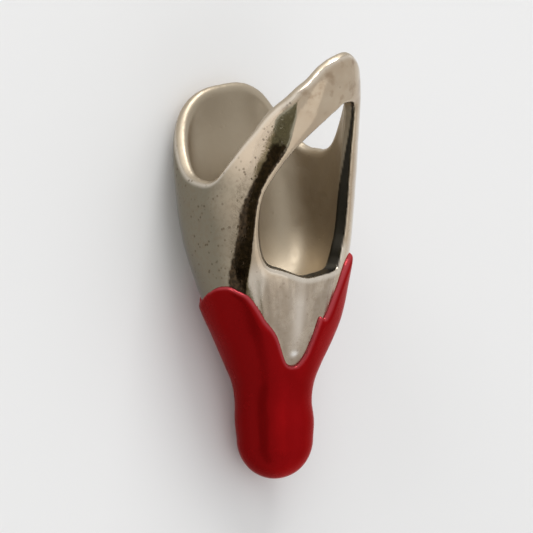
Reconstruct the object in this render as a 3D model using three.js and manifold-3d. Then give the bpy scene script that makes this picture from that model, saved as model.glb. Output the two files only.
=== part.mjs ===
// An open-face gold fang cap for an upper left canine tooth, with a red enamel drip over its long tip.
// It is shaped as worn: x runs back along the row of teeth, y from the lip to the tongue, z up to the gum.
// Then it is laid on its tongue side, as it rests on a table: the window faces up, the gum end lies at +y.
import * as THREE from "three";
import { ParametricGeometry } from "three/addons/geometries/ParametricGeometry.js";
import { mergeVertices } from "three/addons/utils/BufferGeometryUtils.js";
import Module from "manifold-3d";

const wasm = await Module();
wasm.setup();

// Driving dimensions, in millimetres
const WALL = 0.6; // gold wall round the tooth
const RIM_RISE = 0.3; // height of the rounding along the gum margin
const ENAMEL_BED = 0.3; // depth that the gold is cut back under the enamel
const ENAMEL_PROUD = 0.2; // height of the enamel above the bare gold
const ENAMEL_ROUND = 0.25; // height of the rounding along the enamel's upper edge
const SEAM = 0.1; // gap between gold and enamel
const TIP_LEVEL = -4.45; // widest level of the drop at the end
const TIP_DROP = 1.42; // from that level down to the end of the gold form
const SOCKET_SPRING = 4.2; // level where the tooth hollow starts to close
const SOCKET_FLOOR = 1.3; // bottom of the tooth hollow
const WINDOW_REACH = 1.0; // how far the window's cut runs past the wall on both sides

// Angles of the resting pose, in degrees
const LIE_DOWN = -90; // from upright on to the tongue side
const LIE_PITCH = 12.2; // the gum end lies higher than the drop

// Bare form of crown and fang, level by level: the middle of the section, half its width along the row of
// teeth, its depth to the lip and to the tongue, and how square its tongue side is (2 is an ellipse)
const FORM_COLUMNS = ["height", "midX", "halfWidth", "midY", "lipDepth", "tongueDepth", "tongueSquare"];
const FORM = [
  [-4.45, 0.0, 1.36, -0.78, 1.3, 1.28, 2.1],
  [-3.7, 0.0, 1.41, -0.78, 1.34, 1.33, 2.1],
  [-2.8, 0.0, 1.37, -0.78, 1.32, 1.28, 2.1],
  [-2.0, 0.0, 1.48, -0.78, 1.46, 1.4, 2.1],
  [-1.3, 0.0, 1.76, -0.78, 1.7, 1.62, 2.1],
  [-0.4, 0.0, 2.2, -0.78, 2.0, 1.86, 2.2],
  [0.7, -0.03, 2.67, -0.74, 2.38, 2.1, 2.3],
  [2.1, -0.09, 3.07, -0.58, 2.78, 2.3, 2.5],
  [3.7, -0.05, 3.41, -0.28, 3.24, 2.48, 2.7],
  [5.8, 0.09, 3.47, -0.02, 3.72, 2.78, 3.1],
  [8.2, 0.3, 3.29, 0.1, 4.05, 3.36, 3.4],
  [11.0, 0.49, 3.07, 0.15, 4.38, 3.2, 3.0],
  [13.0, 0.6, 2.95, 0.15, 4.35, 3.0, 2.6],
];
const LIP_SQUARE = 2.15;

// Edges round the cap: turn in degrees from the middle of the lip side, positive towards the back of the mouth
const EDGE_COLUMNS = ["turn", "height"];
const GUM_EDGE = [
  [-150, 8.9], [-120, 7.6], [-97, 6.65], [-82, 6.75], [-72, 7.55], [-64, 8.3], [-56.5, 8.95], [-51, 9.5],
  [-45, 9.92], [-37, 10.34], [-31, 10.7], [-23, 11.08], [-15.5, 11.5], [-8.5, 11.75], [0, 11.92],
  [10, 11.97], [23, 11.68], [33, 11.25], [45, 10.4], [62, 8.8], [80, 7.3], [97, 6.9], [122, 7.7], [150, 9],
  [180, 9.5],
];
const ENAMEL_EDGE = [
  [-160, 2.1], [-130, 1.4], [-106, 1.7], [-95, 2], [-84.5, 2.34], [-76.5, 2.5], [-68, 2.55],
  [-61, 2.43], [-53, 2.2], [-47, 1.74], [-41, 1.13], [-34, 0.67], [-30, 0.28], [-26.8, -0.2],
  [-21.7, -0.69], [-13, -0.9], [-5.3, -0.8], [-1.2, -0.32], [0.8, 0.35], [3, 0.89], [6.2, 1.06],
  [11.5, 0.94], [15, 1.17], [20.5, 1.66], [26.5, 2.14], [30, 2.5], [35, 2.9], [42, 3.15], [52, 3.2],
  [66, 2.7], [90, 1.6], [120, 1.4], [150, 2], [175, 2.35],
];

// Outline of the window on the lip side, counter-clockwise as the lip sees it
const WINDOW = [
  [9, 9.9], [0.6, 9.63], [-9, 9.2], [-18, 8.74], [-26, 8.27], [-33.6, 7.63], [-39, 7.03], [-42.6, 6.4],
  [-43.7, 5.6], [-43, 4.95], [-41.4, 4.35], [-39, 3.78], [-34.8, 3.45], [-26, 3.24], [-17.4, 3.05],
  [-8.5, 2.85], [-2, 2.78], [7, 2.8], [17, 2.8], [26, 2.87], [29, 3.2], [29.3, 3.65], [32, 4.25],
  [31.4, 5.15], [29, 6.35], [27.5, 7.75], [27, 9.05], [23.6, 9.7],
];
const WINDOW_MIDDLE = { turn: -9, height: 6 };

// How finely the surfaces are divided
const AROUND = 72;
const LIP_FINER = 0.35; // share by which the columns crowd to the lip side
const WINDOW_STEPS = 56;
const GOLD_ROWS = { tip: 5, core: 8, crown: 12, rim: 4, socket: 6, floor: 4 };
const ENAMEL_ROWS = { tip: 5, body: 11, rim: 4, lining: 7 };

const RADIANS = THREE.MathUtils.DEG2RAD;
const QUARTER = Math.PI / 2;
const mix = THREE.MathUtils.lerp;

// A smooth curve through the rows of a table, read by its first column
function smoothTable(columns, rows) {
  const places = rows.map((row) => row[0]);
  const values = rows.flatMap((row) => row.slice(1));
  const names = columns.slice(1);
  const spline = new THREE.CubicInterpolant(places, values, names.length);
  return (place) => {
    const found = spline.evaluate(THREE.MathUtils.clamp(place, places[0], places.at(-1)));
    return Object.fromEntries(names.map((name, k) => [name, found[k]]));
  };
}

// The height of an edge that runs right round the cap, by the turn in radians
function roundEdge(rows) {
  const lap = (shift) => rows.map(([turn, height]) => [turn + shift, height]);
  const edge = smoothTable(EDGE_COLUMNS, [...lap(-360), ...rows, ...lap(360)]);
  return (turn) => edge(turn / RADIANS).height;
}

const sectionAt = smoothTable(FORM_COLUMNS, FORM);
const gumEdge = roundEdge(GUM_EDGE);
const enamelEdge = roundEdge(ENAMEL_EDGE);

// Sine or cosine reshaped so that the section is a squared ellipse
function squared(value, square) {
  return Math.sign(value) * Math.abs(value) ** (2 / square);
}

// A point on the form, moved in by inset
function formPoint(turn, height, inset) {
  const section = sectionAt(height);
  const onLip = Math.cos(turn) > 0;
  const square = onLip ? LIP_SQUARE : section.tongueSquare;
  const depth = onLip ? section.lipDepth : section.tongueDepth;
  return new THREE.Vector3(
    section.midX + (section.halfWidth - inset) * squared(Math.sin(turn), square),
    section.midY - (depth - inset) * squared(Math.cos(turn), square),
    height,
  );
}

// A point on the round end of the drop: slope is 0 at its widest level and a right angle at the very end
function tipPoint(turn, slope, inset) {
  const { midX, midY } = sectionAt(TIP_LEVEL);
  const axis = new THREE.Vector3(midX, midY, TIP_LEVEL);
  const point = formPoint(turn, TIP_LEVEL, inset).lerp(axis, 1 - Math.cos(slope));
  point.z = TIP_LEVEL - (TIP_DROP - inset) * Math.sin(slope);
  return point;
}

// A point on the closing bottom of the tooth hollow, with the same slopes
function floorPoint(turn, slope) {
  const { midX, midY } = sectionAt(SOCKET_FLOOR);
  const axis = new THREE.Vector3(midX, midY, SOCKET_SPRING);
  const point = formPoint(turn, SOCKET_SPRING, WALL).lerp(axis, 1 - Math.cos(slope));
  point.z = SOCKET_SPRING - (SOCKET_SPRING - SOCKET_FLOOR) * Math.sin(slope);
  return point;
}

// A surface is made of rows, and each row is a function that gives its point at a turn.
// These make count steps of rows over the shares from 0 to 1, both ends included
function rowsFrom(count, rowAt) {
  return Array.from({ length: count + 1 }, (_, k) => rowAt(k / count));
}

// These make count rows at the middles of equal shares, so that both ends are left out
function rowsBetween(count, rowAt) {
  return Array.from({ length: count }, (_, k) => rowAt((k + 0.5) / count));
}

// Rows from the very end of the drop up to its widest level
function tipRows(count, inset) {
  return rowsFrom(count, (share) => (turn) => tipPoint(turn, QUARTER * (1 - share), inset));
}

// Rows from one height to another, both functions of the turn
function bandRows(count, from, to, inset) {
  return rowsFrom(count, (share) => (turn) => formPoint(turn, mix(from(turn), to(turn), share), inset));
}

// Rows over a rounded edge, from the outer inset to the inner one
function edgeRows(count, foot, rise, outer, inner) {
  return rowsBetween(count, (share) => (turn) => {
    const angle = Math.PI * share;
    const inset = mix(outer, inner, (1 - Math.cos(angle)) / 2);
    return formPoint(turn, foot(turn) + rise * Math.sin(angle), inset);
  });
}

// The closed skin whose rows run from one pole up the outside and down the inside to the other pole
function skin(rows, columns, turnAt) {
  const last = rows.length - 1;
  return new ParametricGeometry(
    (u, v, target) => target.copy(rows[Math.round(v * last)](turnAt(u))),
    columns,
    last,
  );
}

// The turn of a column: half a step on, so that a facet lies flat in the middle of the tongue side
function turnAround(u) {
  const even = 2 * Math.PI * (u - 0.5 + 0.5 / AROUND);
  return even - LIP_FINER * Math.sin(even);
}

// The closed skin as a solid: seams are merged and the flat triangles at the poles dropped
function solidOf(geometry) {
  geometry.deleteAttribute("normal");
  geometry.deleteAttribute("uv");
  const merged = mergeVertices(geometry);
  const corners = Array.from(merged.index.array);
  const triVerts = [];
  for (let k = 0; k < corners.length; k += 3) {
    const triangle = corners.slice(k, k + 3);
    if (new Set(triangle).size === 3) triVerts.push(...triangle);
  }
  return new wasm.Manifold(
    new wasm.Mesh({
      numProp: 3,
      vertProperties: new Float32Array(merged.attributes.position.array),
      triVerts: new Uint32Array(triVerts),
    }),
  );
}

function meshOf(name, solid, material) {
  const { vertProperties, triVerts } = solid.getMesh();
  const geometry = new THREE.BufferGeometry();
  geometry.setAttribute("position", new THREE.BufferAttribute(vertProperties, 3));
  geometry.setIndex(new THREE.BufferAttribute(triVerts, 1));
  geometry.computeVertexNormals();
  const mesh = new THREE.Mesh(geometry, new THREE.MeshStandardMaterial(material));
  mesh.name = name;
  return mesh;
}

const tipLevel = () => TIP_LEVEL;
const socketSpring = () => SOCKET_SPRING;

// The casting before the window is cut: core, ledge under the enamel, crown, gum rim, hollow and its floor
function goldBody() {
  const crownFoot = (turn) => enamelEdge(turn) + SEAM;
  const rimFoot = (turn) => gumEdge(turn) - RIM_RISE;
  const rows = [
    ...tipRows(GOLD_ROWS.tip, ENAMEL_BED),
    ...bandRows(GOLD_ROWS.core, tipLevel, enamelEdge, ENAMEL_BED).slice(1),
    ...bandRows(GOLD_ROWS.crown, crownFoot, rimFoot, 0),
    ...edgeRows(GOLD_ROWS.rim, rimFoot, RIM_RISE, 0, WALL),
    ...bandRows(GOLD_ROWS.socket, rimFoot, socketSpring, WALL),
    ...rowsFrom(GOLD_ROWS.floor, (share) => (turn) => floorPoint(turn, QUARTER * share)).slice(1),
  ];
  return solidOf(skin(rows, AROUND, turnAround));
}

// The plug that cuts the window square through the wall
function windowPlug() {
  const outline = new THREE.CatmullRomCurve3(
    WINDOW.map(([turn, height]) => new THREE.Vector3(turn * RADIANS, height, 0)),
    true,
    "catmullrom",
  );
  const inside = WALL + WINDOW_REACH;
  const outside = -WINDOW_REACH;
  const ring = (inset) => (place) => {
    const { x: turn, y: height } = outline.getPoint(place);
    return formPoint(turn, height, inset);
  };
  const pole = (inset) => () => formPoint(WINDOW_MIDDLE.turn * RADIANS, WINDOW_MIDDLE.height, inset);
  const rows = [pole(inside), ring(inside), ring(outside), pole(outside)];
  return solidOf(skin(rows, WINDOW_STEPS, (u) => u % 1));
}

// The enamel coat: the drop, the fang, the rounded upper edge and the lining next to the gold
function enamelBody() {
  const lining = ENAMEL_BED - SEAM;
  const edgeFoot = (turn) => enamelEdge(turn) - ENAMEL_ROUND;
  const rows = [
    ...tipRows(ENAMEL_ROWS.tip, -ENAMEL_PROUD),
    ...bandRows(ENAMEL_ROWS.body, tipLevel, edgeFoot, -ENAMEL_PROUD).slice(1),
    ...edgeRows(ENAMEL_ROWS.rim, edgeFoot, ENAMEL_ROUND, -ENAMEL_PROUD, lining),
    ...bandRows(ENAMEL_ROWS.lining, edgeFoot, tipLevel, lining),
    ...tipRows(ENAMEL_ROWS.tip, lining).reverse().slice(1),
  ];
  return solidOf(skin(rows, AROUND, turnAround));
}

const gold = { color: 0xb3a07f, roughness: 0.28, metalness: 1.0 };
const redEnamel = { color: 0x8c0d12, roughness: 0.12, metalness: 0.0 };

// The cap as worn, then laid down
const worn = new THREE.Group();
worn.add(meshOf("gold_cap", goldBody().subtract(windowPlug()), gold));
worn.add(meshOf("enamel_drip", enamelBody(), redEnamel));
worn.rotation.x = (LIE_DOWN + LIE_PITCH) * RADIANS;

// The origin lies under the middle of the cap, on the table
const fangCap = new THREE.Group();
fangCap.add(worn);
const box = new THREE.Box3().setFromObject(fangCap, true);
const middle = box.getCenter(new THREE.Vector3());
worn.position.set(-middle.x, -middle.y, -box.min.z);

export default fangCap;
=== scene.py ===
"""An open-face gold fang cap with a red enamel drip, lying on a pale table in soft studio light.

The cap is shaped as worn, in millimetres: x runs back along the row of teeth, y from the lip to the tongue
and z up to the gum. Then it is laid on its tongue side where the frame has it. Each piece is the surface
where a smooth field of distances is zero, so its edges are rounded as cast and polished metal is.
"""
import math

import bpy
import numpy as np
from mathutils import Matrix, Vector, kdtree


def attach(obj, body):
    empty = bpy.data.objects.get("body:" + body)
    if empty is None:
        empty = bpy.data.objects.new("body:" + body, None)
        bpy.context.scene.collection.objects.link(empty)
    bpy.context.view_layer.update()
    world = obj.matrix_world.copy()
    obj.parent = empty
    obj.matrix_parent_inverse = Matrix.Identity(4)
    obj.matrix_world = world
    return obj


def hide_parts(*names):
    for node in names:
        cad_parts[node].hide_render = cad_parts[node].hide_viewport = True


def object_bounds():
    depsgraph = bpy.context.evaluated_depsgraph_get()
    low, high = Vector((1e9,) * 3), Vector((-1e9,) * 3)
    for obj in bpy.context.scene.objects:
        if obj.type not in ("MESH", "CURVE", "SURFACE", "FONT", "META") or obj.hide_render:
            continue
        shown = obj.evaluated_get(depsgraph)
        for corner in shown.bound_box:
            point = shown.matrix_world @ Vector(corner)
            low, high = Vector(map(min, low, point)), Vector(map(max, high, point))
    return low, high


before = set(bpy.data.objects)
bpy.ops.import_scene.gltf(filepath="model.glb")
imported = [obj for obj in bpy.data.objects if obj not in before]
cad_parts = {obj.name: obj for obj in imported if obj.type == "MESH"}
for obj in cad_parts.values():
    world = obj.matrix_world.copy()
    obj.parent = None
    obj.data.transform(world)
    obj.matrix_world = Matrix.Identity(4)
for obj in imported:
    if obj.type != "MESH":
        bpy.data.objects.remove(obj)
CAD_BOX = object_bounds()

MM = 0.001

# Sizes of the cap, in millimetres
WALL = 0.6
ENAMEL_BED = 0.3
ENAMEL_PROUD = 0.2
# Round ends: the level where the form starts to close, how far below it ends,
# and how square the end is, where 2 is an ellipse
DROP_END = (-4.45, 1.42, 2.0)
SOCKET_END = (4.2, 2.9, 2.8)
FORM_LOW = -6.5
FORM_HIGH = 13.0

# Pose on the table, in degrees: from upright on to the tongue side, with the gum end a little higher
LIE_DOWN = -90
LIE_PITCH = 12.2

# Bare form, level by level: height, mid x, half width, mid y, depth to lip, depth to tongue,
# and squareness of the tongue side
FORM = [
    (-4.45, 0.0, 1.36, -0.78, 1.3, 1.28, 2.1),
    (-3.7, -0.03, 1.41, -0.78, 1.34, 1.33, 2.1),
    (-2.8, -0.11, 1.37, -0.78, 1.32, 1.28, 2.1),
    (-2.0, -0.13, 1.48, -0.78, 1.46, 1.4, 2.1),
    (-1.3, -0.13, 1.76, -0.78, 1.7, 1.62, 2.1),
    (-0.4, -0.11, 2.2, -0.78, 2.0, 1.86, 2.2),
    (0.7, -0.1, 2.67, -0.74, 2.38, 2.1, 2.3),
    (2.1, -0.11, 3.07, -0.58, 2.78, 2.3, 2.5),
    (3.7, -0.05, 3.41, -0.28, 3.24, 2.48, 2.7),
    (5.8, 0.09, 3.47, -0.02, 3.72, 2.78, 3.1),
    (8.2, 0.3, 3.29, 0.1, 4.05, 3.36, 3.4),
    (11.0, 0.49, 3.07, 0.15, 4.38, 3.2, 3.0),
    (13.0, 0.6, 2.95, 0.15, 4.35, 3.0, 2.6),
]
LIP_SQUARE = 2.15

# Edges round the cap: turn in degrees from the middle of the lip side, and height
GUM_EDGE = [
    (-150, 8.9), (-120, 7.6), (-97, 6.65), (-82, 6.75), (-72, 7.55), (-64, 8.3), (-56.5, 8.95),
    (-51, 9.5), (-45, 9.92), (-37, 10.34), (-31, 10.7), (-23, 11.08), (-15.5, 11.5), (-8.5, 11.75),
    (0, 11.92), (10, 11.97), (23, 11.68), (33, 11.25), (45, 10.4), (62, 8.8), (80, 7.3), (97, 6.9),
    (122, 7.7), (150, 9), (180, 9.5),
]
ENAMEL_EDGE = [
    (-160, 2.1), (-130, 1.4), (-106, 1.7), (-95, 2), (-84.5, 2.34), (-76.5, 2.5), (-68, 2.55),
    (-61, 2.43), (-53, 2.2), (-47, 1.74), (-41, 1.13), (-34, 0.67), (-30, 0.28), (-26.5, -0.2),
    (-21, -0.75), (-12, -0.97), (-3.5, -0.82), (1.8, -0.32), (4.3, 0.35), (6.2, 0.89), (8.8, 1.06),
    (13.2, 0.94), (16.2, 1.17), (21, 1.66), (26.5, 2.14), (30, 2.5), (35, 2.9), (42, 3.15), (52, 3.2),
    (66, 2.7), (90, 1.6), (120, 1.4), (150, 2), (175, 2.35),
]
# Outline of the window: turn in degrees and height
WINDOW = [
    (9, 9.9), (0.6, 9.63), (-9, 9.2), (-18, 8.74), (-26, 8.27), (-33.6, 7.63), (-39, 7.03),
    (-43.4, 6.4), (-44.9, 5.6), (-44.5, 4.95), (-43.1, 4.35), (-40.5, 3.78), (-35.6, 3.42), (-26, 3.24),
    (-17.4, 3.05), (-8.5, 2.85), (-2, 2.78), (7, 2.8), (17, 2.8), (26, 2.87), (29, 3.2),
    (29.3, 3.65), (32, 4.25), (31.4, 5.15), (29, 6.35), (27.5, 7.75), (27, 9.05), (23.6, 9.7),
]

# Crease between the lip face and the flank towards the middle of the mouth: height and turn in degrees
CREASE = [
    (1.6, -58), (2.73, -53.5), (3.2, -51), (3.79, -48.6), (4.95, -47.1), (6.1, -46.4), (6.68, -44.8),
    (7.26, -41.2), (7.84, -36.1), (8.41, -32), (9.0, -30.5), (9.57, -30), (10.32, -31), (11, -31.5),
]

# Band of painted dark reflection that runs along the flank side of the crease: height and width
BAND = [
    (1.6, 0.7), (2.6, 0.72), (3.2, 0.75), (4.6, 0.64), (5.7, 0.62), (6.3, 0.5), (7.1, 0.38), (7.8, 0.46),
    (8.3, 0.58), (9.6, 0.74), (10.3, 0.6), (11, 0.4),
]

# Rounding of the edges, and the fall of the face towards them with its width, in millimetres
GUM_ROUND = 0.36
WINDOW_ROUND = 0.13
SOCKET_ROUND = 0.1
ENAMEL_ROUND = 0.34
WINDOW_FALL, WINDOW_FALL_WIDTH = 0.06, 0.5
GUM_FALL, GUM_FALL_WIDTH = 0.15, 1.1
CREASE_RISE, CREASE_WIDTH, CREASE_ROUND = 0.09, 0.6, 0.05
# Scrapes on the bare gold below the window: depth in millimetres, spacing in degrees
FLUTE_DEPTH, FLUTE_TURN = 0.009, 17.0
# Ridge on that gold: turn and height of its ends, half width in degrees, height in millimetres
FOLD_TOP, FOLD_TIP = (-11.5, 2.0), (-12.5, -0.62)
FOLD_TURN, FOLD_RISE = 5.5, 0.03
# Bead on the ridge: its height over the tip, the form's radius there, its size and rise
BEAD_UP, BEAD_RADIUS = 0.2, 1.9
BEAD_SIZE, BEAD_RISE = 0.13, 0.05
# Bed of the enamel: how far the gold runs on under its edge, the slope's width, the coat's hold in the gold
ENAMEL_LAP, BED_SLOPE = 0.08, 0.1
ENAMEL_SINK, SINK_ROUND = 0.07, 0.06

# Unevenness of cast gold and poured enamel: seed, wave length and height in millimetres
GOLD_WAVES = (3, 1.7, 0.008)
ENAMEL_WAVES = (5, 2.2, 0.016)
WAVE_COUNT = 9

# Boxes round the worn cap and its enamel, in millimetres
CAP_LOW, CAP_HIGH, ENAMEL_HIGH = (-3.9, -4.9, -6.4), (4.3, 4.0, 12.5), (4.0, 3.2, 4.2)

# Fineness of the meshes, in millimetres
GOLD_CELL = 0.08
ENAMEL_CELL = 0.064
# Steps that draw the vertices on to the surface and even them out
FIRST_DRAWS, LATER_DRAWS = 4, 2
RELAX_ROUNDS, RELAX_SHARE = 5, 0.6
SLOPE_STEP, LEAST_SLOPE = 0.004, 0.05
# Fineness of the chart of edges
CHART_TURNS = 480
CHART_HEIGHTS = 260
EDGE_POINTS = 720

# Camera in the cap's worn frame: turned towards the middle of the mouth and raised to the gum, in degrees
CAMERA_TURN = 40
CAMERA_RISE = 14
CAMERA_DISTANCE = 0.5
FRAME_FILL = 0.8
SENSOR = 36.0

# Half the size of the table in metres, and the brightness of the white surroundings
TABLE_HALF = 1.5
WORLD_STRENGTH = 0.74
# Soft lights: direction along the camera's right, up and back, distance and size in metres, watts
LIGHTS = {
    "gum_light": ((0.25, 1.0, 0.35), 0.6, 0.3, 1.9),
    "rim_light": ((-0.45, 0.9, 0.75), 0.6, 0.25, 0.7),
    "face_light": ((0.5, -0.44, 0.74), 0.7, 0.4, 0.15),
}

# Card beside the camera, dark in its lower left part and olive elsewhere: its rise over the camera
# and its reach to left and right, in degrees
CARD_DISTANCE = 0.6
CARD_STEPS, CARD_DARK_STEPS, CARD_DARK_ROWS = 8, 3, 4
CARD = [
    (-75, -85, -12), (-60, -80, -10), (-45, -76, -14), (-36, -66, -18), (-28, -52, -8), (-20, -41, -2),
    (-6, -38, -2),
]


def smooth_table(rows):
    """A smooth curve through the rows, read by their first column."""
    rows = np.array(rows, float)
    places, values = rows[:, 0], rows[:, 1:]
    chords = np.diff(values, axis=0) / np.diff(places)[:, None]
    slopes = np.vstack([chords[:1], (chords[:-1] + chords[1:]) / 2, chords[-1:]])

    def read(at):
        at = np.clip(at, places[0], places[-1])
        k = np.clip(np.searchsorted(places, at) - 1, 0, len(places) - 2)
        span = (places[k + 1] - places[k])[..., None]
        p = (at - places[k])[..., None] / span
        return ((1 + 2 * p) * (1 - p) ** 2 * values[k] + p * (1 - p) ** 2 * span * slopes[k]
                + p ** 2 * (3 - 2 * p) * values[k + 1] - p ** 2 * (1 - p) * span * slopes[k + 1])

    return read


def round_edge(rows):
    """The height of an edge that runs right round the cap, by the turn in degrees."""
    rows = np.array(rows, float)
    laps = [rows + (shift, 0) for shift in (-360, 0, 360)]
    read = smooth_table(np.vstack(laps))
    return lambda turn: read(turn)[..., 0]


def closed_curve(points, count):
    """Points along the smooth closed curve through points."""
    points = np.array(points, float)
    place = np.arange(count) * len(points) / count
    k = place.astype(int)
    p = (place - k)[:, None]
    a, b, c, d = (points[(k + step) % len(points)] for step in (-1, 0, 1, 2))
    square = 2 * a - 5 * b + 4 * c - d
    cube = 3 * b - a - 3 * c + d
    return 0.5 * (2 * b + (c - a) * p + square * p ** 2 + cube * p ** 3)


read_form = smooth_table(FORM)
gum_edge = round_edge(GUM_EDGE)
enamel_edge = round_edge(ENAMEL_EDGE)
crease_turn = smooth_table(CREASE)
band_width = smooth_table(BAND)


def squared(value, power):
    """A power that keeps the sign."""
    return np.sign(value) * np.abs(value) ** power


def form_point(turn, height):
    """Points on the bare form, at turns in degrees and heights."""
    turn = np.radians(turn)
    mid_x, half, mid_y, lip, tongue, tongue_square = read_form(height).T
    on_lip = np.cos(turn) > 0
    power = 2 / np.where(on_lip, LIP_SQUARE, tongue_square)
    depth = np.where(on_lip, lip, tongue)
    return np.stack([
        mid_x + half * squared(np.sin(turn), power),
        mid_y - depth * squared(np.cos(turn), power),
        height,
    ], axis=-1)


def measure(points, inset=0.0, end=DROP_END):
    """Distance out of the form moved in by inset, turn in degrees and height of points."""
    x, y, z = points.T
    end_level, end_drop, end_square = end
    mid_x, half, mid_y, lip, tongue, tongue_square = read_form(z).T
    on_lip = y < mid_y
    power = np.where(on_lip, LIP_SQUARE, tongue_square)
    width = half - inset
    depth = np.where(on_lip, lip, tongue) - inset
    across = (x - mid_x) / width
    out = (mid_y - y) / depth
    ring = (np.abs(across) ** power + np.abs(out) ** power) ** (1 / power) + 1e-6
    drop = np.maximum(end_level - z, 0) / end_drop
    share = (ring ** end_square + drop ** end_square) ** (1 / end_square)
    slope_x = (np.abs(across) / ring) ** (power - 1) / width
    slope_y = (np.abs(out) / ring) ** (power - 1) / depth
    slope_ring = (ring / share) ** (end_square - 1) * np.hypot(slope_x, slope_y)
    slope_drop = (drop / share) ** (end_square - 1) / end_drop
    slope = np.hypot(slope_ring, slope_drop)
    turn = np.degrees(np.arctan2(squared(across, power / 2), squared(out, power / 2)))
    return (share - 1) / slope, turn, z


def socket_distance(points):
    """Distance out of the tooth hollow, which closes in a dome at its bottom."""
    return measure(points, WALL, SOCKET_END)[0]


class Chart:
    """Signed distances to the edges, the window and the crease, laid out over turn and height."""

    def __init__(self):
        self.turns = np.linspace(-180, 180, CHART_TURNS + 1)
        self.heights = np.linspace(FORM_LOW, FORM_HIGH, CHART_HEIGHTS)
        turn, height = np.meshgrid(self.turns, self.heights, indexing="ij")
        self.points = form_point(turn.ravel(), height.ravel())
        around = np.linspace(-180, 180, EDGE_POINTS, endpoint=False)
        outline = closed_curve(WINDOW, EDGE_POINTS)
        self.layers = np.stack([
            self.signed(np.stack([around, gum_edge(around)], -1), height > gum_edge(turn)),
            self.signed(np.stack([around, enamel_edge(around)], -1), height > enamel_edge(turn)),
            self.signed(outline, self.within(outline, turn, height)),
            self.signed(self.crease_line(), turn > crease_turn(height)[..., 0]),
        ], axis=-1)

    @staticmethod
    def crease_line():
        heights = np.linspace(CREASE[0][0], CREASE[-1][0], EDGE_POINTS)
        return np.stack([crease_turn(heights)[:, 0], heights], -1)

    def signed(self, edge, positive):
        tree = kdtree.KDTree(len(edge))
        for number, point in enumerate(form_point(edge[:, 0], edge[:, 1])):
            tree.insert(point, number)
        tree.balance()
        far = np.array([tree.find(point)[2] for point in self.points]).reshape(positive.shape)
        return np.where(positive, far, -far)

    @staticmethod
    def within(outline, turn, height):
        """Whether points of the chart lie inside a closed outline."""
        inside = np.zeros(turn.shape, bool)
        for (t0, h0), (t1, h1) in zip(outline, np.roll(outline, -1, axis=0)):
            crosses = (h0 > height) != (h1 > height)
            if crosses.any():
                inside ^= crosses & (turn < t0 + (height - h0) * (t1 - t0) / (h1 - h0))
        return inside

    def read(self, turn, height):
        """The distances past the gum edge, the enamel's edge, the window's outline and the crease."""
        s = (turn + 180) / 360 * CHART_TURNS
        t = (np.clip(height, FORM_LOW, FORM_HIGH) - FORM_LOW) / (FORM_HIGH - FORM_LOW) * (CHART_HEIGHTS - 1)
        i = np.clip(s.astype(int), 0, CHART_TURNS - 1)
        j = np.clip(t.astype(int), 0, CHART_HEIGHTS - 2)
        s, t = (s - i)[:, None], (t - j)[:, None]
        grid = self.layers
        near = grid[i, j] * (1 - t) + grid[i, j + 1] * t
        far = grid[i + 1, j] * (1 - t) + grid[i + 1, j + 1] * t
        return (near * (1 - s) + far * s).T


chart = Chart()


def blend_max(a, b, width):
    """The larger of two fields, with the edge between them rounded over width."""
    return np.maximum(a, b) + width / 4 * np.maximum(1 - np.abs(a - b) / width, 0) ** 2


def ramp(value, low, high):
    """A smooth rise from 0 at low to 1 at high."""
    share = np.clip((value - low) / (high - low), 0, 1)
    return share * share * (3 - 2 * share)


def fade(value, low, high):
    """A smooth fall from 1 at low to 0 at high."""
    return ramp(-value, -high, -low)


def falling(distance, fall, width):
    """Depth of a surface that falls away towards an edge."""
    return fall * np.maximum(1 - np.maximum(distance, 0) / width, 0) ** 2


def bed_depth(past_edge):
    """How deep the gold lies below the form under the enamel."""
    return ENAMEL_BED * fade(past_edge, -ENAMEL_LAP - BED_SLOPE, -ENAMEL_LAP)


def waves(seed, length, height):
    """A shallow random unevenness, as a function of points."""
    rng = np.random.default_rng(seed)
    ways = rng.normal(size=(WAVE_COUNT, 3))
    ways /= np.linalg.norm(ways, axis=1, keepdims=True)
    ways *= 2 * math.pi / length * rng.uniform(0.6, 1.5, (WAVE_COUNT, 1))
    starts = rng.uniform(0, 2 * math.pi, WAVE_COUNT)
    return lambda points: height * np.sin(points @ ways.T + starts).sum(1) / math.sqrt(WAVE_COUNT)


gold_waves = waves(*GOLD_WAVES)
enamel_waves = waves(*ENAMEL_WAVES)


def crease_rise(past_crease, height):
    """How far the crease stands up, sharp at its crest and fading to both sides."""
    reach = np.sqrt(past_crease ** 2 + CREASE_ROUND ** 2) / CREASE_WIDTH
    return CREASE_RISE * np.exp(-reach) * ramp(height, 1.4, 3.0)


def bare_tongue(turn, height, enamel):
    """Share of the scraped gold below the window."""
    return fade(np.abs(turn + 14), 32, 42) * fade(height, 2.6, 3.4) * ramp(enamel, -0.1, 0.1)


def fold(turn, height):
    """Share of the soft ridge that runs down the scraped gold to its tip."""
    (top_turn, top_height), (tip_turn, tip_height) = FOLD_TOP, FOLD_TIP
    middle = tip_turn + (top_turn - tip_turn) * (height - tip_height) / (top_height - tip_height)
    return np.exp(-((turn - middle) / FOLD_TURN) ** 2)


def bead(turn, height):
    """Share of the small bead of gold near the tip of the scraped part."""
    across = np.radians(turn - FOLD_TIP[0]) * BEAD_RADIUS
    along = height - FOLD_TIP[1] - BEAD_UP
    return np.exp(-(across ** 2 + along ** 2) / BEAD_SIZE ** 2)


def flutes(turn, height):
    """Shallow scrapes that run down the gold below the window."""
    phase = 2 * math.pi * turn / FLUTE_TURN
    wander = 0.5 * np.sin(1.9 * height)
    return np.sin(phase + wander) + 0.5 * np.sin(2.5 * phase)


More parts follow.
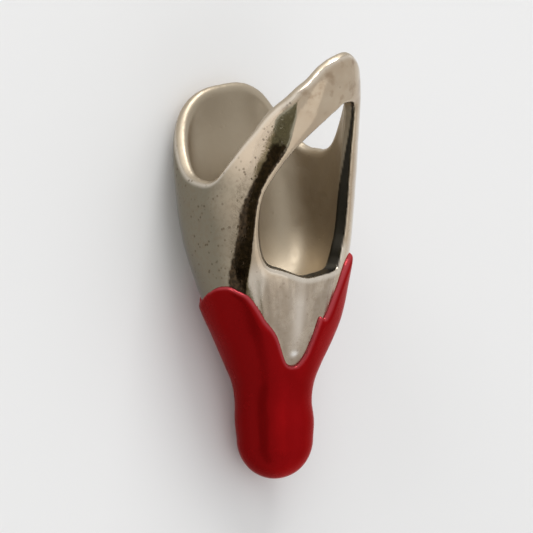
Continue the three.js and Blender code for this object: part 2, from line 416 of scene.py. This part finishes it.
def gold_field(points):
    """Distance out of the gold: the form and its relief, less the hollow, the gum arch and the window."""
    out, turn, height = measure(points)
    gum, enamel, window, crease = chart.read(turn, height)
    relief = bed_depth(enamel) + falling(-window, WINDOW_FALL, WINDOW_FALL_WIDTH)
    relief += falling(-gum, GUM_FALL, GUM_FALL_WIDTH)
    relief -= crease_rise(crease, height) + gold_waves(points)
    uneven = FLUTE_DEPTH * flutes(turn, height) - FOLD_RISE * fold(turn, height)
    uneven -= BEAD_RISE * bead(turn, height)
    relief += uneven * bare_tongue(turn, height, enamel)
    field = blend_max(out + relief, -socket_distance(points), SOCKET_ROUND)
    field = blend_max(field, gum, GUM_ROUND)
    return blend_max(field, window, WINDOW_ROUND)


def enamel_field(points):
    """Distance out of the enamel: a coat proud of the form below its edge, down to its bed in the gold."""
    out, turn, height = measure(points)
    _, enamel, _, _ = chart.read(turn, height)
    field = blend_max(out - ENAMEL_PROUD - enamel_waves(points), enamel, ENAMEL_ROUND)
    return blend_max(field, -ENAMEL_SINK - bed_depth(enamel) - out, SINK_ROUND)


def window_cut(out, height, window):
    """Share of the window's wall painted dark as shade, which reaches deeper towards its lower end."""
    depth = 0.24 + 0.4 * fade(height, 4.5, 9.5)
    return fade(np.abs(window), 0.08, 0.16) * fade(out, -0.16, -0.1) * ramp(out + depth, -0.05, 0)


def painted_lip_highlight(turn, height, window, crease):
    """Share of the painted highlight on the lip below the window and on the margin between it and the
    crease.
    """
    lip = ramp(window, -0.27, -0.13) * fade(height, 3.5, 4.0) * ramp(turn, -42, -34)
    margin = fade(turn, -41, -35) * ramp(crease, 0.0, 0.1) * fade(height, 3.1, 3.8)
    margin *= ramp(height + fade(turn, -45, -38), 2.5, 3.1)
    return np.maximum(lip, 0.7 * margin)


def painted_tongue_shade(turn, height):
    """Share of the darker, browner gold below the window, on both sides of the ridge and at the tip:
    painted shade beside the ridge's painted highlight.
    """
    flank_side = 0.8 * fade(turn, -27, -17) * ramp(turn, -42, -37) * fade(height, 2.5, 3.0)
    far_side = 0.7 * ramp(turn, -8, 6) * fade(height, 1.8, 2.3)
    tip = 0.6 * fade(height, -0.3, 0.6)
    return np.maximum(np.maximum(flank_side, far_side), tip)


def painted_ridge_highlight(turn, height):
    """Share of the painted highlight streak on the ridge, weaker near the window and the tip."""
    return fold(turn, height) * ramp(height, -0.9, 0.9) * (1 - 0.6 * ramp(height, 1.7, 2.5))


def painted_band_reflection(height, crease, gum):
    """Share of the band of painted dark reflection beside the crease, sharp at the crest and uneven towards
    the flank.
    """
    reach = crease + band_width(height)[:, 0]
    return ramp(reach, -0.3, 0.12) * fade(crease, -0.02, 0.06) * fade(gum, -0.4, -0.2)


def painted_flank_shade(turn, height):
    """Share of the painted shade on the flank, from 0 beside the crease to 1 at its side."""
    start = 50 - 8 * fade(height, 4.6, 6.0)
    return np.clip((-turn - start) / 34, 0, 1) * ramp(turn, -160, -140)


def gold_marks(points):
    """Shares from 0 to 1 of the parts of the gold that look different, by name."""
    out, turn, height = measure(points)
    gum, enamel, window, crease = chart.read(turn, height)
    inner = fade(out, -0.26, -0.14)
    tongue = bare_tongue(turn, height, enamel)
    outer = {
        "tongue": tongue,
        # fold: painted highlight along the ridge
        "fold": painted_ridge_highlight(turn, height) * tongue,
        # worn: painted shade beside the ridge and at the tip, in a browner tone
        "worn": painted_tongue_shade(turn, height) * tongue,
        "lip": painted_lip_highlight(turn, height, window, crease),
        "upper": ramp(height, 9.3, 10.3) * fade(np.abs(turn), 30, 45),
        # lighter rim along the gum edge: painted highlight
        "rim_highlight": ramp(gum, -0.3, -0.12),
        "pitted": ramp(crease, -1.7, -0.7) * fade(crease, -0.3, 0.0),
        # band: painted dark reflection beside the crease
        "band": painted_band_reflection(height, crease, gum),
        # painted highlight: a lighter strip on the flank beside the crease
        "painted_sheen": ramp(height, 6.4, 8.2) * ramp(crease, -2.6, -1.4) * fade(crease, -0.7, -0.35),
        # flank: painted shade on the flank side
        "flank": painted_flank_shade(turn, height),
    }
    marks = {name: share * (1 - inner) for name, share in outer.items()}
    marks["inner"] = inner
    # painted shade on the window's wall
    marks["cut"] = window_cut(out, height, window)
    # bead: also carries a painted highlight on the bead
    marks["bead"] = bead(turn, height)
    # olive: where the band's painted reflection turns olive, towards its top
    marks["olive"] = ramp(height, 7.7, 9.3)
    return marks


def enamel_marks(points):
    """Shares of the enamel's painted highlight along its border and of the painted shade on its flank side.
    """
    _, turn, height = measure(points)
    _, enamel, _, _ = chart.read(turn, height)
    return {
        # border: painted highlight along the enamel's edge
        "border": ramp(enamel, -0.17, -0.05),
        # painted shade: darker red enamel on the flank side
        "painted_enamel_shade": fade(turn, -70, -15) * ramp(turn, -170, -120),
    }


def surface_of(field, low, high, cell):
    """Vertices and outward quads of the surface where a field is zero, a vertex in each cell it crosses."""
    axes = [np.arange(a, b, cell) for a, b in zip(low, high)]
    grid = np.stack(np.meshgrid(*axes, indexing="ij"), axis=-1)
    values = np.stack([field(slab.reshape(-1, 3)).reshape(slab.shape[:2]) for slab in grid])
    inside = values < 0
    corners = np.zeros(np.array(inside.shape) - 1, int)
    for step in np.ndindex(2, 2, 2):
        corners += inside[tuple(slice(s, n - 1 + s) for s, n in zip(step, inside.shape))]
    active = np.argwhere((corners > 0) & (corners < 8))
    number = np.full(corners.shape, -1)
    number[tuple(active.T)] = np.arange(len(active))
    points = np.array(low) + (active + 0.5) * cell
    quads = np.vstack([quads_across(inside, number, axis) for axis in range(3)])
    return settle(points, quads, field, cell), quads


def quads_across(inside, number, axis):
    """Quads round the grid edges along one axis that the surface crosses."""
    b, c = (axis + 1) % 3, (axis + 2) % 3
    first = np.take(inside, range(inside.shape[axis] - 1), axis)
    second = np.take(inside, range(1, inside.shape[axis]), axis)
    at = np.argwhere(first != second)
    ring = []
    for step_b, step_c in ((-1, -1), (0, -1), (0, 0), (-1, 0)):
        cell = at.copy()
        cell[:, b] += step_b
        cell[:, c] += step_c
        ring.append(number[tuple(cell.T)])
    quads = np.stack(ring, axis=-1)
    backward = ~first[tuple(at.T)]
    quads[backward] = quads[backward][:, ::-1]
    return quads


def settle(points, quads, field, cell):
    """Evens out the vertices and draws them on to the surface."""
    points = drawn_in(points, field, cell, FIRST_DRAWS)
    start = quads.ravel()
    end = np.roll(quads, -1, axis=1).ravel()
    count = np.bincount(start, minlength=len(points)) + np.bincount(end, minlength=len(points))
    for _ in range(RELAX_ROUNDS):
        mean = np.zeros_like(points)
        for k in range(3):
            mean[:, k] = np.bincount(start, points[end, k], len(points))
            mean[:, k] += np.bincount(end, points[start, k], len(points))
        points = points + RELAX_SHARE * (mean / count[:, None] - points)
        points = drawn_in(points, field, cell, LATER_DRAWS)
    return points


def gradient(points, field, value):
    """Slope of a field at points where its value is known."""
    steps = SLOPE_STEP * np.eye(3)
    return np.stack([(field(points + step) - value) / SLOPE_STEP for step in steps], axis=-1)


def drawn_in(points, field, cell, rounds):
    """Points moved to where the field is zero, by half a cell at most in each round."""
    for _ in range(rounds):
        value = field(points)
        slope = gradient(points, field, value)
        move = (value / np.maximum((slope ** 2).sum(1), LEAST_SLOPE))[:, None] * slope
        length = np.linalg.norm(move, axis=1, keepdims=True)
        points = points - move * np.minimum(1, 0.5 * cell / np.maximum(length, 1e-9))
    return points


WORN_TO_LYING = Matrix.Rotation(math.radians(LIE_DOWN + LIE_PITCH), 3, "X")


def lying(vector):
    """A direction of the worn frame, turned to the lying one."""
    return WORN_TO_LYING @ Vector(vector)


def new_piece(name, points, quads, place, attributes):
    """A mesh object from worn points in millimetres, laid down at place in metres."""
    mesh = bpy.data.meshes.new(name)
    laid = points @ np.array(WORN_TO_LYING).T * MM + place
    mesh.from_pydata(laid.tolist(), [], quads.tolist())
    mesh.shade_smooth()
    for key, values in attributes.items():
        layer = mesh.attributes.new(key, "FLOAT", "POINT")
        layer.data.foreach_set("value", values.astype(np.float32))
    piece = bpy.data.objects.new(name, mesh)
    bpy.context.scene.collection.objects.link(piece)
    return piece


def make_cap():
    """The gold casting and the enamel coat, in place of their plain solids."""
    gold_points, gold_quads = surface_of(gold_field, CAP_LOW, CAP_HIGH, GOLD_CELL)
    enamel_points, enamel_quads = surface_of(enamel_field, CAP_LOW, ENAMEL_HIGH, ENAMEL_CELL)
    turned = np.vstack([gold_points, enamel_points]) @ np.array(WORN_TO_LYING).T * MM
    ours_low, ours_high = turned.min(0), turned.max(0)
    cad_low, cad_high = (np.array(corner) for corner in CAD_BOX)
    place = (cad_low + cad_high) / 2 - (ours_low + ours_high) / 2
    place[2] = cad_low[2] - ours_low[2]
    gold = new_piece("gold_casting", gold_points, gold_quads, place, gold_marks(gold_points))
    enamel = new_piece("enamel_coat", enamel_points, enamel_quads, place, enamel_marks(enamel_points))
    for piece, node, slot in ((gold, "gold_cap", "gold"), (enamel, "enamel_drip", "red_enamel")):
        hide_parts(node)
        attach(piece, "root")
    return gold, enamel


class Nodes:
    """A short way to add nodes to a material and join them."""

    def __init__(self, name):
        self.material = bpy.data.materials.new(name)
        self.material.use_nodes = True
        self.tree = self.material.node_tree
        self.tree.nodes.clear()
        self.shader = self.add("ShaderNodeBsdfPrincipled")
        output = self.add("ShaderNodeOutputMaterial")
        self.set(output.inputs["Surface"], self.shader.outputs["BSDF"])

    def add(self, kind, **settings):
        node = self.tree.nodes.new(kind)
        for key, value in settings.items():
            setattr(node, key, value)
        return node

    def set(self, socket, value):
        """Links a socket to another or gives it a value, a colour as red, green and blue."""
        if isinstance(value, bpy.types.NodeSocket):
            self.tree.links.new(value, socket)
        elif socket.type == "RGBA":
            socket.default_value = (*value, 1)
        else:
            socket.default_value = value

    def shade(self, **inputs):
        for key, value in inputs.items():
            self.set(self.shader.inputs[key.replace("_", " ")], value)

    def millimetres(self, stretch=(1, 1, 1)):
        """Places on the object in millimetres, stretched along its axes."""
        mapping = self.add("ShaderNodeMapping")
        self.set(mapping.inputs["Vector"], self.add("ShaderNodeTexCoord").outputs["Object"])
        self.set(mapping.inputs["Scale"], tuple(share / MM for share in stretch))
        return mapping.outputs["Vector"]

    def noise(self, place, scale, detail):
        """Cloudy noise with scale waves to the millimetre."""
        node = self.add("ShaderNodeTexNoise")
        self.set(node.inputs["Vector"], place)
        self.set(node.inputs["Scale"], scale)
        self.set(node.inputs["Detail"], detail)
        return node.outputs[0]

    def dots(self, place, scale):
        """Distance from scattered points."""
        node = self.add("ShaderNodeTexVoronoi")
        self.set(node.inputs["Vector"], place)
        self.set(node.inputs["Scale"], scale)
        return node.outputs["Distance"]

    def mark(self, name):
        return self.add("ShaderNodeAttribute", attribute_name=name).outputs["Fac"]

    def remap(self, value, low, high, at_low=0.0, at_high=1.0):
        node = self.add("ShaderNodeMapRange", interpolation_type="SMOOTHSTEP")
        for socket, part in zip(node.inputs, (value, low, high, at_low, at_high)):
            self.set(socket, part)
        return node.outputs[0]

    def both(self, operation, a, b):
        node = self.add("ShaderNodeMath", operation=operation)
        self.set(node.inputs[0], a)
        self.set(node.inputs[1], b)
        return node.outputs[0]

    def blend(self, share, a, b):
        """Colour a where share is 0 and b where it is 1."""
        node = self.add("ShaderNodeMix", data_type="RGBA")
        self.set(node.inputs[0], share)
        self.set(node.inputs[6], a)
        self.set(node.inputs[7], b)
        return node.outputs[2]

    def layered(self, colour, layers):
        """A colour with further ones over it, each by its share and strength."""
        for share, strength, tint in layers:
            colour = self.blend(self.both("MULTIPLY", share, strength), colour, tint)
        return colour

    def bump(self, height, strength, depth):
        node = self.add("ShaderNodeBump")
        self.set(node.inputs["Strength"], strength)
        self.set(node.inputs["Distance"], depth * MM)
        self.set(node.inputs["Height"], height)
        return node.outputs["Normal"]


def gold_material():
    """Pale gold with soft mottling, brown spots near the gum, casting pits and scrapes, and painted light:
    a band of painted dark reflection, painted shade and painted highlights.
    """
    nodes = Nodes("pale_gold")
    place = nodes.millimetres()
    broad = nodes.remap(nodes.noise(place, 0.5, 3), 0.35, 0.65)
    mottle = nodes.remap(nodes.noise(place, 2.4, 5), 0.3, 0.7)
    grain = nodes.noise(place, 11, 3)
    speckle = nodes.remap(nodes.noise(place, 6.5, 4), 0.42, 0.66)
    streaks = nodes.remap(nodes.noise(nodes.millimetres((2.6, 0.22, 2.6)), 0.9, 5), 0.38, 0.62)
    patches = nodes.remap(nodes.noise(nodes.millimetres((1.6, 0.6, 1.6)), 0.9, 3), 0.4, 0.62)
    tongue = nodes.mark("tongue")
    flank = nodes.mark("flank")
    pitted = nodes.mark("pitted")
    spots = nodes.both("MULTIPLY", nodes.remap(nodes.noise(place, 1.9, 4), 0.5, 0.72), nodes.mark("upper"))
    pits = nodes.remap(nodes.dots(place, 3.0), 0.10, 0.22, 1.0, 0.0)
    pits = nodes.both("MULTIPLY", pits, nodes.remap(nodes.noise(place, 1.1, 2), 0.42, 0.6))
    deep_pits = nodes.remap(nodes.dots(place, 4.4), 0.14, 0.3, 1.0, 0.0)
    deep_pits = nodes.both("MULTIPLY", deep_pits, nodes.remap(nodes.noise(place, 1.6, 2), 0.44, 0.56))
    deep_pits = nodes.both("MULTIPLY", deep_pits, nodes.both("MAXIMUM", pitted, flank))
    rough_cast = nodes.both("MULTIPLY", speckle, nodes.both("MAXIMUM", pitted, flank))
    scrapes = nodes.both("MULTIPLY", streaks, tongue)
    blotch = nodes.remap(nodes.noise(place, 4.0, 4), 0.25, 0.75, -0.3, 0.3)
    band = nodes.both("MULTIPLY", nodes.both("ADD", nodes.mark("band"), blotch), nodes.mark("band"))
    band = nodes.remap(band, 0.2, 0.75)
    olive = nodes.remap(nodes.both("ADD", nodes.mark("olive"), blotch), 0.2, 0.8)
    # Colour of the band: a painted dark reflection, speckled, and olive towards its top
    painted_band_colour = nodes.blend(speckle, (0.028, 0.018, 0.01), (0.075, 0.048, 0.027))
    painted_band_colour = nodes.blend(olive, painted_band_colour, (0.36, 0.325, 0.235))
    browned = nodes.both("MULTIPLY", nodes.both("MAXIMUM", patches, speckle), tongue)

    colour = nodes.blend(broad, (0.51, 0.41, 0.3), (0.59, 0.49, 0.365))
    colour = nodes.layered(colour, [
        (mottle, 0.3, (0.5, 0.38, 0.26)),
        # painted shade darkening the flank
        (flank, 0.9, (0.17, 0.155, 0.115)),
        (rough_cast, 0.4, (0.2, 0.155, 0.105)),
        # painted highlight on the flank beside the crease
        (nodes.mark("painted_sheen"), 0.8, (0.88, 0.72, 0.55)),
        (tongue, 0.75, (0.57, 0.49, 0.4)),
        (scrapes, 0.6, (0.37, 0.305, 0.24)),
        (browned, 0.45, (0.36, 0.28, 0.2)),
        # worn: painted shade beside the ridge and at the tip
        (nodes.mark("worn"), 0.5, (0.3, 0.235, 0.175)),
        # fold: painted highlight along the ridge
        (nodes.mark("fold"), 0.55, (0.85, 0.77, 0.68)),
        # the bead's light colour: a painted highlight
        (nodes.mark("bead"), 1.0, (0.92, 0.89, 0.84)),
        # painted highlight along the gum edge
        (nodes.mark("rim_highlight"), 0.7, (0.85, 0.77, 0.66)),
        # lip: painted highlight below the window
        (nodes.mark("lip"), 0.6, (0.86, 0.79, 0.69)),
        (spots, 0.55, (0.27, 0.17, 0.1)),
        (pits, 0.25, (0.2, 0.13, 0.08)),
        (deep_pits, 0.7, (0.09, 0.06, 0.035)),
        (band, 0.96, painted_band_colour),
        (nodes.mark("inner"), 1.0, (0.45, 0.38, 0.285)),
        # window's wall near black: painted shade
        (nodes.mark("cut"), 1.0, (0.05, 0.045, 0.035)),
    ])

    rough = nodes.remap(mottle, 0.0, 1.0, 0.1, 0.17)
    rough = nodes.both("ADD", rough, nodes.remap(nodes.mark("inner"), 0.0, 1.0, 0.0, 0.3))
    rough = nodes.both("ADD", rough, nodes.remap(tongue, 0.0, 1.0, 0.0, 0.1))
    rough = nodes.both("ADD", rough, nodes.remap(scrapes, 0.0, 1.0, 0.0, 0.12))

    height = nodes.remap(grain, 0.0, 1.0, 0.0, 0.14)
    height = nodes.both("SUBTRACT", height, nodes.both("MULTIPLY", pits, 0.4))
    height = nodes.both("SUBTRACT", height, nodes.both("MULTIPLY", deep_pits, 0.35))
    height = nodes.both("ADD", height, nodes.both("MULTIPLY", rough_cast, 0.05))
    height = nodes.both("ADD", height, nodes.both("MULTIPLY", scrapes, 0.22))
    nodes.shade(Metallic=1.0, Base_Color=colour, Roughness=rough, Normal=nodes.bump(height, 0.35, 0.03))
    return nodes.material


def enamel_material():
    """Deep red enamel, glossy and a little uneven, which the gold below it shimmers through."""
    nodes = Nodes("red_enamel")
    place = nodes.millimetres()
    broad = nodes.remap(nodes.noise(nodes.millimetres((1, 0.35, 1)), 0.7, 3), 0.35, 0.65)
    peel = nodes.noise(place, 2.6, 3)
    colour = nodes.blend(broad, (0.26, 0.004, 0.005), (0.31, 0.005, 0.0065))
    # darker red on the flank side: painted shade
    colour = nodes.blend(nodes.mark("painted_enamel_shade"), colour, (0.2, 0.004, 0.0045))
    # lighter pink at the border: painted highlight
    colour = nodes.blend(nodes.mark("border"), colour, (0.44, 0.06, 0.07))
    rough = nodes.remap(nodes.noise(place, 1.4, 4), 0.3, 0.7, 0.2, 0.28)
    nodes.shade(Base_Color=colour, Roughness=rough, Normal=nodes.bump(peel, 0.2, 0.02))
    nodes.shade(Metallic=0.45, Specular_IOR_Level=0.03, Specular_Tint=(1.0, 0.1, 0.1))
    return nodes.material


def flat_material(name, colour):
    """A matt paint for the table and the card."""
    nodes = Nodes(name)
    nodes.shade(Base_Color=colour, Roughness=0.7, Specular_IOR_Level=0.0)
    return nodes.material


def camera_axes():
    """Right, up and back of the camera, in the lying frame."""
    turn, rise = math.radians(CAMERA_TURN), math.radians(CAMERA_RISE)
    back = (-math.sin(turn) * math.cos(rise), -math.cos(turn) * math.cos(rise), math.sin(rise))
    right = (math.cos(turn), -math.sin(turn), 0)
    up = (math.sin(turn) * math.sin(rise), math.cos(turn) * math.sin(rise), math.cos(rise))
    return lying(right), lying(up), lying(back)


RIGHT, UP, BACK = camera_axes()


def make_camera(pieces):
    """A long lens at the photograph's angle to the cap, which fills most of the frame."""
    points = np.vstack([[vertex.co for vertex in piece.data.vertices] for piece in pieces])
    spans = [(points @ np.array(axis)) for axis in (RIGHT, UP, BACK)]
    middle = [(span.min() + span.max()) / 2 for span in spans]
    target = RIGHT * middle[0] + UP * middle[1] + BACK * middle[2]
    tallest = max(np.ptp(span) for span in spans[:2])
    data = bpy.data.cameras.new("camera")
    data.sensor_width = SENSOR
    data.lens = SENSOR * CAMERA_DISTANCE * FRAME_FILL / tallest
    data.clip_start = 0.01
    camera = bpy.data.objects.new("camera", data)
    turn = Matrix((RIGHT, UP, BACK)).transposed().to_4x4()
    camera.matrix_world = Matrix.Translation(target + BACK * CAMERA_DISTANCE) @ turn
    bpy.context.scene.collection.objects.link(camera)
    bpy.context.scene.camera = camera
    return target


def make_floor():
    """A plain pale table top."""
    half = TABLE_HALF
    mesh = bpy.data.meshes.new("table")
    corners = [(-half, -half, 0), (half, -half, 0), (half, half, 0), (-half, half, 0)]
    mesh.from_pydata(corners, [], [(0, 1, 2, 3)])
    mesh.materials.append(flat_material("pale_table", (0.85, 0.85, 0.85)))
    floor = bpy.data.objects.new("table", mesh)
    bpy.context.scene.collection.objects.link(floor)


def softbox(name, target, direction, distance, size, watts):
    """A square soft light in a direction given along the camera's right, up and back."""
    data = bpy.data.lights.new(name, "AREA")
    data.shape = "SQUARE"
    data.size = size
    data.energy = watts
    lamp = bpy.data.objects.new(name, data)
    along = RIGHT * direction[0] + UP * direction[1] + BACK * direction[2]
    lamp.location = target + along.normalized() * distance
    lamp.rotation_euler = (target - lamp.location).to_track_quat("-Z", "Y").to_euler()
    bpy.context.scene.collection.objects.link(lamp)


def make_card(target):
    """A curved card beside the camera, which polished metal shows as a dark streak."""
    corners = []
    for rise, left, right in CARD:
        for side in np.radians(np.linspace(left, right, CARD_STEPS + 1)):
            level = BACK * math.cos(side) + RIGHT * math.sin(side)
            along = level * math.cos(math.radians(rise)) + UP * math.sin(math.radians(rise))
            corners.append(tuple(target + along * CARD_DISTANCE))
    quads = []
    olive = []
    for row in range(len(CARD) - 1):
        for step in range(CARD_STEPS):
            low = row * (CARD_STEPS + 1) + step
            high = low + CARD_STEPS + 1
            quads.append((low, low + 1, high + 1, high))
            olive.append(row >= CARD_DARK_ROWS or step >= CARD_DARK_STEPS)
    mesh = bpy.data.meshes.new("dark_card")
    mesh.from_pydata(corners, [], quads)
    mesh.materials.append(flat_material("dark_card", (0.07, 0.053, 0.033)))
    mesh.materials.append(flat_material("olive_card", (0.24, 0.225, 0.16)))
    for face, is_olive in zip(mesh.polygons, olive):
        face.material_index = int(is_olive)
    card = bpy.data.objects.new("dark_card", mesh)
    bpy.context.scene.collection.objects.link(card)


def make_light(target):
    """White surroundings, soft lights and the card."""
    world = bpy.data.worlds.new("studio")
    world.use_nodes = True
    background = world.node_tree.nodes["Background"]
    background.inputs["Color"].default_value = (1, 1, 1, 1)
    background.inputs["Strength"].default_value = WORLD_STRENGTH
    bpy.context.scene.world = world
    for name, (direction, distance, size, watts) in LIGHTS.items():
        softbox(name, target, direction, distance, size, watts)
    make_card(target)


bpy.context.scene.view_settings.view_transform = "Standard"
gold, enamel = make_cap()
gold.data.materials.append(gold_material())
enamel.data.materials.append(enamel_material())
make_floor()
make_light(make_camera([gold, enamel]))
